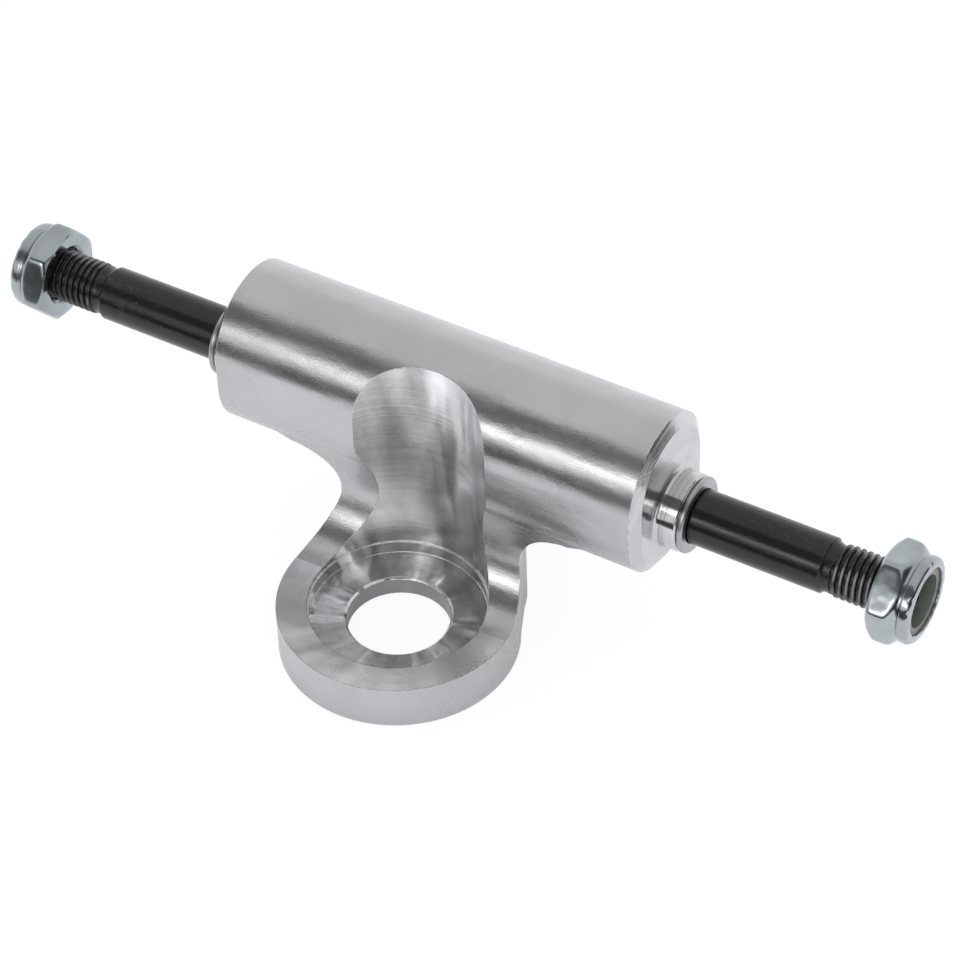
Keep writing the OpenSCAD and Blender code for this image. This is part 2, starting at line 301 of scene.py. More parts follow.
class Effects:
    """The shader node groups that more than one finish uses, each made once.

    The grains are counts in a metre, and the edge bounds are cosines of how far the light turns.
    """

    fine_grain: float = 5200.0
    wave_grain: float = 260.0
    speckle_grain: float = 1900.0
    patch_grain: float = 110.0
    # Size of the patches of painted shade along the edges.
    edge_shade_grain: float = 1500.0
    broad_lines: float = 0.22
    flute_slant: float = 60.0
    wide_edge: float = 1.6
    edge_from: float = 0.985
    edge_full: float = 0.88

    def __init__(self) -> None:
        """Makes the groups."""
        self.turned = self.make_turned()
        self.grain = self.make_grain()
        self.edges = self.make_edges()

    @staticmethod
    def start(name: str, takes: dict[str, str], gives: dict[str, str]) -> tuple[Board, Socket, Node]:
        """Starts a group.

        Args:
            name: The group's name.
            takes: Its inputs, each with its socket type.
            gives: Its outputs, each with its socket type.

        Returns:
            The board, the inputs and the output node.
        """
        tree = bpy.data.node_groups.new(name, "ShaderNodeTree")
        for direction, sockets in (("INPUT", takes), ("OUTPUT", gives)):
            for label, kind in sockets.items():
                tree.interface.new_socket(name=label, in_out=direction, socket_type=kind)
        board = Board(tree)
        return board, board.add("NodeGroupInput").outputs, board.add("NodeGroupOutput")

    def make_turned(self) -> bpy.types.NodeTree:
        """Makes lathe marks: lines that run round an axis, and flutes along it where the tool chattered.

        Returns:
            The group.
        """
        board, takes, gives = self.start(
            "turned_lines",
            {"Place": "NodeSocketVector", "Centre": "NodeSocketVector", "Axis": "NodeSocketVector",
             "Lines": "NodeSocketFloat", "Flutes": "NodeSocketFloat"},
            {"Height": "NodeSocketFloat", "Streaks": "NodeSocketFloat", "Chatter": "NodeSocketFloat",
             "Radius": "NodeSocketFloat", "Along": "NodeSocketFloat"},
        )
        arm = board.vector("SUBTRACT", takes["Place"], takes["Centre"])
        along = board.vector("DOT_PRODUCT", arm, takes["Axis"], output="Value")
        across = board.vector("SUBTRACT", arm, board.vector("SCALE", takes["Axis"], Scale=along))
        radius = board.vector("LENGTH", across, output="Value")
        pair = board.add("ShaderNodeCombineXYZ")
        board.feed(pair, X=radius, Y=along)
        lines = board.vector("SCALE", pair.outputs[0], Scale=takes["Lines"])
        fine = board.noise(lines, 1.0, 2.0, 0.6)
        broad = board.noise(lines, self.broad_lines, 1.0, 0.5)
        way = board.vector("SCALE", board.vector("NORMALIZE", across), Scale=takes["Flutes"])
        slant = board.vector("SCALE", pair.outputs[0], Scale=self.flute_slant)
        chatter = board.noise(board.vector("ADD", way, slant), 1.0, 0.6, 0.5)
        board.feed(gives, Height=fine, Streaks=broad, Chatter=chatter, Radius=radius, Along=along)
        return board.tree

    def make_grain(self) -> bpy.types.NodeTree:
        """Makes satin grain, drawn out along the polishing, with soft unevenness and broad patches.

        Returns:
            The group.
        """
        board, takes, gives = self.start(
            "satin_grain",
            {"Place": "NodeSocketVector", "Stretch": "NodeSocketVector"},
            {"Height": "NodeSocketFloat", "Waves": "NodeSocketFloat", "Speckle": "NodeSocketFloat",
             "Patches": "NodeSocketFloat"},
        )
        drawn = board.vector("MULTIPLY", takes["Place"], takes["Stretch"])
        fine = board.noise(drawn, self.fine_grain, 2.0, 0.5)
        waves = board.noise(drawn, self.wave_grain, 2.0, 0.45)
        speckle = board.noise(drawn, self.speckle_grain, 2.0, 0.6)
        patches = board.noise(takes["Place"], self.patch_grain, 3.0, 0.6)
        board.feed(gives, Height=fine, Waves=waves, Speckle=speckle, Patches=board.band(patches, 0.3, 0.7))
        return board.tree

    def make_edges(self) -> bpy.types.NodeTree:
        """Rounds sharp edges in the light, and marks where they are and where their painted edge colour
        turns to painted shade in patches.

        Returns:
            The group.
        """
        board, takes, gives = self.start(
            "broken_edges",
            {"Place": "NodeSocketVector", "Radius": "NodeSocketFloat"},
            {"Normal": "NodeSocketVector", "Edge": "NodeSocketFloat", "Burr": "NodeSocketFloat"},
        )
        bevel = board.feed(board.add("ShaderNodeBevel", samples=8), Radius=takes["Radius"])
        flat = board.add("ShaderNodeNewGeometry").outputs["Normal"]
        wide_radius = board.math("MULTIPLY", takes["Radius"], self.wide_edge)
        wide = board.feed(board.add("ShaderNodeBevel", samples=8), Radius=wide_radius)
        same = board.vector("DOT_PRODUCT", wide.outputs["Normal"], flat, output="Value")
        edge = board.band(same, self.edge_from, self.edge_full)
        # Patches along the edges that are painted darker, as painted shade.
        ragged = board.band(board.noise(takes["Place"], self.edge_shade_grain, 2.0, 0.6), 0.42, 0.6)
        board.feed(gives, Normal=bevel.outputs["Normal"], Edge=edge, Burr=ragged)
        return board.tree


# Finishes


@dataclass(frozen=True)
class Metal:
    """A metal finish: its colours, how dull it is, and how its surface was worked. Depths are in metres."""

    name: str
    colour: Point
    # Colour painted on sharp edges: a painted highlight, except on the milled rim, where it is a painted
    # dark line.
    painted_edge_colour: Point
    # Darker colour painted in patches along the edges, as painted shade.
    edge_shade_colour: Point
    roughness: float
    edge_roughness: float
    turning: Turning
    edge_radius: float
    grain_depth: float = 0.0
    wave_depth: float = 0.0
    lines: float = 7000.0
    line_depth: float = 0.0
    streak_share: float = 0.9
    flutes: float = 10.0
    flute_depth: float = 0.0
    stretch: Point = (0.45, 1.0, 1.0)
    metallic: float = 1.0
    specular: float = 0.5
    anisotropic: float = 0.0
    patches: float = 0.06
    patch_roughness: float = 0.06
    speckle: float = 0.0
    streak_tone: float = 0.0
    flute_tone: float = 0.0

    def build(self, effects: Effects) -> bpy.types.Material:
        """Makes the material.

        Args:
            effects: The shared node groups.

        Returns:
            The material.
        """
        material = bpy.data.materials.new(self.name)
        material.use_nodes = True
        board = Board(material.node_tree)
        place = board.add("ShaderNodeTexCoord").outputs["Object"]
        grain = board.group(effects.grain, Place=place, Stretch=self.stretch)
        edges = board.group(effects.edges, Place=place, Radius=self.edge_radius)
        turned = board.group(
            effects.turned, Place=place, Centre=self.turning.centre, Axis=self.turning.direction,
            Lines=self.lines, Flutes=self.flutes)
        shader = board.add("ShaderNodeBsdfPrincipled")
        board.feed(
            shader, Base_Color=self.shade(board, grain, edges, turned),
            Roughness=self.dullness(board, grain, edges), Normal=self.relief(board, grain, edges, turned),
            Metallic=self.metallic, Specular_IOR_Level=self.specular, Anisotropic=self.anisotropic,
        )
        if self.anisotropic:
            arm = board.vector("SUBTRACT", place, self.turning.centre)
            board.feed(
                shader, Tangent=board.vector("CROSS_PRODUCT", self.turning.direction, arm),
                Anisotropic_Rotation=0.25)
        board.join(shader.outputs[0], board.add("ShaderNodeOutputMaterial").inputs["Surface"])
        return material

    def relief(self, board: Board, grain: Node, edges: Node, turned: Node) -> Socket:
        """The surface's fine shape.

        Args:
            board: The material's board.
            grain: The satin grain.
            edges: The broken edges.
            turned: The lathe marks.

        Returns:
            The normal's socket.
        """
        normal = edges.outputs["Normal"]
        both = board.math(
            "MULTIPLY_ADD", turned.outputs["Streaks"], self.streak_share, turned.outputs["Height"])
        layers = (
            (grain.outputs["Waves"], self.wave_depth), (turned.outputs["Chatter"], self.flute_depth),
            (grain.outputs["Height"], self.grain_depth), (both, self.line_depth),
        )
        for height, depth in layers:
            if depth:
                normal = board.bump(height, 1.0, depth, normal)
        return normal

    def shade(self, board: Board, grain: Node, edges: Node, turned: Node) -> Socket:
        """The surface's colour, with a painted edge colour along sharp edges: a painted highlight, except
        on the milled rim, where it is a painted dark line.

        Args:
            board: The material's board.
            grain: The satin grain.
            edges: The broken edges.
            turned: The lathe marks.

        Returns:
            The colour's socket.
        """
        tone = board.math("MULTIPLY_ADD", grain.outputs["Patches"], -self.patches, 1.0 + self.patches / 2)
        for mark, strength in (("Streaks", self.streak_tone), ("Chatter", self.flute_tone)):
            if strength:
                away = board.math("SUBTRACT", turned.outputs[mark], 0.5)
                tone = board.math("MULTIPLY_ADD", away, strength, tone)
        toned = board.vector("SCALE", self.colour, Scale=tone)
        # Sharp edges take the painted edge colour (a painted highlight), broken in patches by a darker
        # painted shade.
        edge = board.mix(edges.outputs["Burr"], (*self.painted_edge_colour, 1.0), (*self.edge_shade_colour, 1.0))
        return board.mix(edges.outputs["Edge"], toned, edge)

    def dullness(self, board: Board, grain: Node, edges: Node) -> Socket:
        """How dull the surface is.

        Args:
            board: The material's board.
            grain: The satin grain.
            edges: The broken edges.

        Returns:
            The roughness's socket.
        """
        rough = board.math("MULTIPLY_ADD", grain.outputs["Patches"], self.patch_roughness, self.roughness)
        rough = board.math("MULTIPLY_ADD", grain.outputs["Speckle"], self.speckle, rough)
        return board.math(
            "MULTIPLY_ADD", edges.outputs["Edge"], self.edge_roughness - self.roughness, rough)


@dataclass(frozen=True)
class BlackOxide(Metal):
    """Blackened steel, lighter on the thread crests from wear and a painted glint, and in faint streaks
    along the shank.
    """

    crest_from: float = 3.55 * MM
    crest_to: float = 3.8 * MM
    thread_from: float = 59.0 * MM
    # Colour of the thread crests, standing for wear and for a painted glint.
    rubbed_and_glint: Point = (0.2, 0.2, 0.205)
    scuffed: Point = (0.028, 0.028, 0.029)
    scuff_band: tuple[float, float] = (0.52, 0.72)
    wear_and_glint_band: tuple[float, float] = (0.47, 0.66)

    def shade(self, board: Board, grain: Node, edges: Node, turned: Node) -> Socket:
        """The black with its crests lightened by wear and a painted glint, and its scuffs.

        Args:
            board: The material's board.
            grain: The satin grain.
            edges: The broken edges.
            turned: The lathe marks.

        Returns:
            The colour's socket.
        """
        plain = Metal.shade(self, board, grain, edges, turned)
        speckle = board.band(grain.outputs["Speckle"], *self.scuff_band)
        scuff = board.math("MULTIPLY", speckle, grain.outputs["Patches"])
        plain = board.mix(scuff, plain, (*self.scuffed, 1.0))
        # Lighter patches on the thread crests: wear, and a painted glint.
        high = board.band(turned.outputs["Radius"], self.crest_from, self.crest_to)
        far = board.math("GREATER_THAN", board.math("ABSOLUTE", turned.outputs["Along"]), self.thread_from)
        wear_and_glint_patches = board.band(grain.outputs["Waves"], *self.wear_and_glint_band)
        wear_and_glint = board.math("MULTIPLY", board.math("MULTIPLY", high, far), wear_and_glint_patches)
        return board.mix(wear_and_glint, plain, (*self.rubbed_and_glint, 1.0))


@dataclass(frozen=True)
class Nylon:
    """The dull, slightly clear plastic of the locking rings."""

    name: str
    colour: Point
    roughness: float
    dark_share: float = 0.7
    clearness: float = 0.15
    grain_strength: float = 0.5
    grain_depth: float = 0.02 * MM

    def build(self, effects: Effects) -> bpy.types.Material:
        """Makes the material.

        Args:
            effects: The shared node groups.

        Returns:
            The material.
        """
        material = bpy.data.materials.new(self.name)
        material.use_nodes = True
        board = Board(material.node_tree)
        place = board.add("ShaderNodeTexCoord").outputs["Object"]
        grain = board.group(effects.grain, Place=place, Stretch=(1.0, 1.0, 1.0))
        dark = tuple(c * self.dark_share for c in self.colour)
        colour = board.mix(grain.outputs["Patches"], (*dark, 1.0), (*self.colour, 1.0))
        shader = board.add("ShaderNodeBsdfPrincipled")
        board.feed(
            shader, Base_Color=colour, Roughness=self.roughness, Subsurface_Weight=self.clearness,
            Normal=board.bump(grain.outputs["Height"], self.grain_strength, self.grain_depth),
        )
        board.join(shader.outputs[0], board.add("ShaderNodeOutputMaterial").inputs["Surface"])
        return material


# Each finish's edge colour is painted: a painted highlight, except on the milled rim, where it is a painted
# dark line; its darker edge colour is painted shade.
SATIN_ALUMINIUM = Metal(
    name="satin_aluminium", colour=(0.50, 0.505, 0.515), painted_edge_colour=(0.85, 0.86, 0.87),
    edge_shade_colour=(0.42, 0.42, 0.43), roughness=0.20, edge_roughness=0.18, turning=Turning.AXLE,
    edge_radius=0.12 * MM, grain_depth=0.014 * MM, wave_depth=0.12 * MM, speckle=0.08,
)
SCOOP_ALUMINIUM = Metal(
    name="bored_aluminium", colour=(0.70, 0.705, 0.715), painted_edge_colour=(0.95, 0.95, 0.95),
    edge_shade_colour=(0.7, 0.7, 0.71), roughness=0.13, edge_roughness=0.22, turning=Turning.EYE,
    edge_radius=0.17 * MM, grain_depth=0.003 * MM, wave_depth=0.10 * MM, lines=5200.0,
    line_depth=0.012 * MM, flutes=3.6, flute_depth=0.5 * MM, anisotropic=0.7, streak_tone=0.2,
    stretch=(1.0, 1.0, 0.5), speckle=0.06, patches=0.24, flute_tone=1.2,
)
RIM_ALUMINIUM = Metal(
    name="milled_aluminium", colour=(0.70, 0.705, 0.715), painted_edge_colour=(0.3, 0.3, 0.31),
    edge_shade_colour=(0.05, 0.05, 0.052), roughness=0.20, edge_roughness=0.2, turning=Turning.EYE,
    edge_radius=0.13 * MM, grain_depth=0.006 * MM, wave_depth=0.14 * MM, lines=4200.0,
    line_depth=0.006 * MM, flutes=3.0, flute_depth=0.3 * MM, speckle=0.06, stretch=(0.6, 0.6, 0.6),
    flute_tone=0.7,
)
END_ALUMINIUM = Metal(
    name="faced_aluminium", colour=(0.55, 0.555, 0.565), painted_edge_colour=(0.95, 0.95, 0.95),
    edge_shade_colour=(0.10, 0.10, 0.105), roughness=0.15, edge_roughness=0.14, turning=Turning.AXLE,
    edge_radius=0.14 * MM, wave_depth=0.08 * MM, lines=3400.0, line_depth=0.034 * MM, flutes=3.4,
    flute_depth=0.20 * MM, anisotropic=0.4, streak_tone=0.35,
)
# The kingpin hole's drilled wall: rougher, and darker as painted shade in the hole.
DRILLED_SHADED_ALUMINIUM = Metal(
    name="drilled_shaded_aluminium", colour=(0.33, 0.333, 0.34), painted_edge_colour=(0.8, 0.8, 0.81),
    edge_shade_colour=(0.3, 0.3, 0.31), roughness=0.26, edge_roughness=0.2, turning=Turning.EYE,
    edge_radius=0.12 * MM, wave_depth=0.05 * MM, lines=4200.0, line_depth=0.012 * MM, anisotropic=0.5,
)
BLACK_OXIDE = BlackOxide(
    name="black_oxide_steel", colour=(0.008, 0.008, 0.008), painted_edge_colour=(0.15, 0.15, 0.154),
    edge_shade_colour=(0.03, 0.03, 0.03), roughness=0.12, edge_roughness=0.2, turning=Turning.AXLE,
    edge_radius=0.09 * MM, grain_depth=0.012 * MM, wave_depth=0.06 * MM, line_depth=0.008 * MM,
    metallic=0.0, specular=0.40, patches=0.5, patch_roughness=0.12, speckle=0.08,
)
ZINC_NUT = Metal(
    name="bright_zinc", colour=(0.37, 0.405, 0.42), painted_edge_colour=(0.75, 0.78, 0.8),
    edge_shade_colour=(0.3, 0.32, 0.33), roughness=0.12, edge_roughness=0.12, turning=Turning.AXLE,
    edge_radius=0.1 * MM, wave_depth=0.14 * MM, stretch=(0.8, 0.8, 0.8), patches=0.2,
    patch_roughness=0.10, speckle=0.05, line_depth=0.004 * MM,
)
ZINC_WASHER = Metal(
    name="dull_zinc", colour=(0.40, 0.41, 0.415), painted_edge_colour=(0.6, 0.6, 0.61),
    edge_shade_colour=(0.2, 0.2, 0.2), roughness=0.27, edge_roughness=0.2, turning=Turning.AXLE,
    edge_radius=0.1 * MM, line_depth=0.012 * MM, wave_depth=0.04 * MM, speckle=0.08,
)
NYLON = Nylon(name="nylon_ring", colour=(0.20, 0.20, 0.175), roughness=0.36)


# Sub-assemblies


def smooth_copy(node: str, name: str, angle: float) -> bpy.types.Object:
    """A welded copy of a CAD node whose rounded surfaces shade without steps.

    Args:
        node: The CAD node.
        name: Name of the new piece.
        angle: Edges up to this many degrees are smooth.

    Returns:
        The new piece, which isn't on a body yet.
    """
    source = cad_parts[node]
    mesh = source.data.copy()
    mesh.name = name
    piece = bpy.data.objects.new(name, mesh)
    bpy.context.scene.collection.objects.link(piece)
    for layer in ("custom_normal", "sharp_face", "sharp_edge"):
        found = mesh.attributes.get(layer)
        if found:
            mesh.attributes.remove(found)
    work = bmesh.new()
    work.from_mesh(mesh)
    bmesh.ops.remove_doubles(work, verts=work.verts, dist=WELD)
    bmesh.ops.dissolve_degenerate(work, edges=work.edges, dist=SLIVER)
    for face in work.faces:
        face.smooth = True
    for edge in work.edges:
        edge.smooth = len(edge.link_faces) == 2 and edge.calc_face_angle(math.pi) < math.radians(angle)
    work.to_mesh(mesh)
    work.free()
    mesh.materials.clear()
    return piece


class Worked(IntEnum):
    """How a face of the hanger was worked, which is also its material's place on the shell."""

    SATIN = 0
    BORED = 1
    FACED = 2
    MILLED = 3
    DRILLED_SHADED = 4


HANGER_FINISHES = {
    Worked.SATIN: SATIN_ALUMINIUM, Worked.BORED: SCOOP_ALUMINIUM, Worked.FACED: END_ALUMINIUM,
    Worked.MILLED: RIM_ALUMINIUM, Worked.DRILLED_SHADED: DRILLED_SHADED_ALUMINIUM,
}


@dataclass
class Hanger:
    """The machined hanger: the barrel, and the neck with its scoop, cushion eye and cups."""

    node: str = "hanger"
    body: str = "hanger"
    smooth_angle: float = 14.0
    scoop_r: float = 13.0 * MM
    hole_r: float = 7.5 * MM
    rim_end: float = 8.0 * MM
    end_from: float = 33.25 * MM
    level_from: float = 0.999
    upright_to: float = 0.5

    def mesh(self) -> bpy.types.Object:
        """Makes the hanger's shell from its solid, with the stepped fillets shaded smooth."""
        return smooth_copy(self.node, "hanger_shell", self.smooth_angle)

    def worked(self, face: bpy.types.MeshPolygon) -> Worked:
        """How a face was worked.

        Args:
            face: The face.

        Returns:
            Faced at the barrel's ends, drilled in the kingpin's hole, whose colour carries painted shade,
            bored in the scoop and the cups, milled on the eye's rim, and satin elsewhere.
        """
        middle = face.center
        if abs(middle.x) > self.end_from:
            return Worked.FACED
        from_eye = math.hypot(middle.x, middle.y)
        # The hole's wall gets a finish darkened with painted shade.
        if from_eye < self.hole_r and abs(face.normal.z) < self.upright_to:
            return Worked.DRILLED_SHADED
        if from_eye < self.scoop_r:
            return Worked.BORED
        on_rim = face.normal.z > self.level_from and middle.y < self.rim_end
        return Worked.MILLED if on_rim else Worked.SATIN

    def dress(self, finishes: list[bpy.types.Material]) -> None:
        """Builds the shell, gives each face its finish and puts the shell on its body.

        Args:
            finishes: The materials, in the order of Worked.
        """
        piece = self.mesh()
        for material in finishes:
            piece.data.materials.append(material)
        for face in piece.data.polygons:
            face.material_index = self.worked(face)
        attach(piece, self.body)
        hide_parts(self.node)
        log.info("hanger: %d faces", len(piece.data.polygons))


def blend_least(values: list[float], soft: float) -> float:
    """The least of some values, rounded off where two of them meet.

    Args:
        values: The values.
        soft: How much is rounded off; below 0 gives the greatest value instead.

    Returns:
        The rounded value.
    """
    edge = min(values) if soft > 0 else max(values)
    return edge - soft * math.log(sum(math.exp((edge - v) / soft) for v in values))


def skin(name: str, rings: list[list[Vector]], closed: bool, sharp: float) -> bpy.types.Object:
    """Joins rings of points into a surface.

    Args:
        name: The new piece's name.
        rings: The rings, each with as many points; a ring of one point closes an end.
        closed: Whether the last ring joins the first.
        sharp: Edges above this many degrees stay sharp.

    Returns:
        The new piece, which isn't on a body yet.
    """
    work = bmesh.new()
    loops = [[work.verts.new(p) for p in ring] for ring in rings]
    pairs = list(zip(loops, loops[1:])) + ([(loops[-1], loops[0])] if closed else [])
    for first, second in pairs:
        count = max(len(first), len(second))
        for i in range(count):
            j = (i + 1) % count
            corners = [first[i % len(first)], first[j % len(first)]]
            corners += [second[j % len(second)], second[i % len(second)]]
            work.faces.new(list(dict.fromkeys(corners)))
    bmesh.ops.recalc_face_normals(work, faces=work.faces)
    for face in work.faces:
        face.smooth = True
    for edge in work.edges:
        edge.smooth = edge.calc_face_angle(math.pi) < math.radians(sharp)
    mesh = bpy.data.meshes.new(name)
    work.to_mesh(mesh)
    work.free()
    piece = bpy.data.objects.new(name, mesh)
    bpy.context.scene.collection.objects.link(piece)
    return piece


def about_axle(radius: float, angle: float, along: float) -> Vector:
    """A point round the axle.

    Args:
        radius: Its distance from the axle.
        angle: Its angle from +Y towards +Z, in radians.
        along: Its place along X.

    Returns:
        The point.
    """
    across, up = radius * math.cos(angle), radius * math.sin(angle)
    return Vector((along, AXLE_MIDDLE.y + across, AXLE_MIDDLE.z + up))


def steps(start: float, end: float, step: float) -> list[float]:
    """Even steps from start up to, but without, end."""
    count = max(1, round(abs(end - start) / step))
    return [start + (end - start) * i / count for i in range(count)]


@dataclass
class Thread:
    """A single-start right-hand screw thread about the axle."""

    crest_r: float = 3.8 * MM
    root_r: float = 3.3 * MM
    pitch: float = 1.0 * MM
    crest: float = 0.18
    root: float = 0.22

    def radius(self, along: float, angle: float) -> float:
        """The thread's radius.

        Args:
            along: Place along the axle.
            angle: Angle round it, in radians.

        Returns:
            The radius.
        """
        turn = (along / self.pitch - angle / math.tau) % 1.0
        flank = abs(2.0 * turn - 1.0)
        share = min(1.0, max(0.0, (flank - self.root) / (1.0 - self.root - self.crest)))
        return self.root_r + (self.crest_r - self.root_r) * share * share * (3.0 - 2.0 * share)


@dataclass
class Axle:
    """The pressed-in axle with its shanks, reliefs and screwed ends."""

    node: str = "axle"
    body: str = "hanger"
    sides: int = 96
    press_r: float = 4.2 * MM
    shank_r: float = 4.0 * MM
    relief_r: float = 3.55 * MM
    press_end: float = 37.15 * MM
    washer_face: float = 38.4 * MM
    shank_end: float = 58.4 * MM
    thread_start: float = 59.6 * MM
    run_in: float = 0.9 * MM
    end_chamfer: float = 0.55 * MM
    dimple_r: float = 1.1 * MM
    dimple_depth: float = 0.9 * MM
    broken: float = 0.2 * MM
    relief_drop: float = 0.02 * MM
    relief_run: float = 0.25 * MM
    relief_lift: float = 0.05 * MM
    relief_full: float = 0.4 * MM
    ring_step: float = 2.0 * MM
    rings_a_turn: int = 14
    sharp: float = 32.0
    thread: Thread = field(default_factory=Thread)

    def radius(self, along: float, angle: float) -> float:
        """The screwed end's radius, with its run-in and its end chamfer.

        Args:
            along: Distance from the axle's middle.
            angle: Angle round it, in radians.

        Returns:
            The radius.
        """
        from_start, to_end = along - self.thread_start, AXLE_HALF - along
        core = self.thread.radius(along, angle)
        run = min(1.0, from_start / self.run_in)
        limits = [core, self.relief_r + (self.thread.crest_r - self.relief_r) * run]
        limits.append(self.thread.crest_r - self.end_chamfer + to_end)
        return min(limits)

    def outline(self) -> list[tuple[float, float]]:
        """The plain part of one half, from the middle outwards.

        Returns:
            Pairs of place and radius.
        """
        b = self.broken
        plain = [
            (0.0, self.press_r), (self.press_end - b, self.press_r), (self.press_end, self.press_r - b),
            (self.press_end + self.relief_drop, self.relief_r), (self.washer_face - b, self.relief_r),
            (self.washer_face, self.shank_r - b), (self.washer_face + b, self.shank_r),
        ]
        plain += [(x, self.shank_r) for x in steps(
            self.washer_face + 2 * b, self.shank_end - b, self.ring_step)]
        plain += [
            (self.shank_end - b, self.shank_r), (self.shank_end, self.shank_r - b),
            (self.shank_end + self.relief_run, self.relief_r + self.relief_lift),
            (self.shank_end + self.relief_full, self.relief_r),
        ]
        return plain

    def dress(self, material: bpy.types.Material) -> None:
        """Builds the axle and puts it on the hanger's body.

        Args:
            material: The finish.
        """
        turn = [math.tau * i / self.sides for i in range(self.sides)]
        ring_step = self.thread.pitch / self.rings_a_turn
        threaded = [*steps(self.thread_start, AXLE_HALF, ring_step), AXLE_HALF]
        halves = []
        for side in Side:
            half = [[about_axle(r, a, side.value * x) for a in turn] for x, r in self.outline()]
            for x in threaded:
                # The screw has the same hand at both ends, so its angle is counted with the side.
                half.append([about_axle(self.radius(x, side.value * a), a, side.value * x) for a in turn])
            end = side.value * AXLE_HALF
            half.append([about_axle(self.dimple_r, a, end) for a in turn])
            half.append([about_axle(0.0, 0.0, end - side.value * self.dimple_depth)])
            halves.append(half)
        left, right = halves
        piece = skin("axle_rod", left[:0:-1] + right, False, self.sharp)
        piece.data.materials.append(material)
        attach(piece, self.body)
        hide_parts(self.node)
        log.info("axle: %d faces", len(piece.data.polygons))


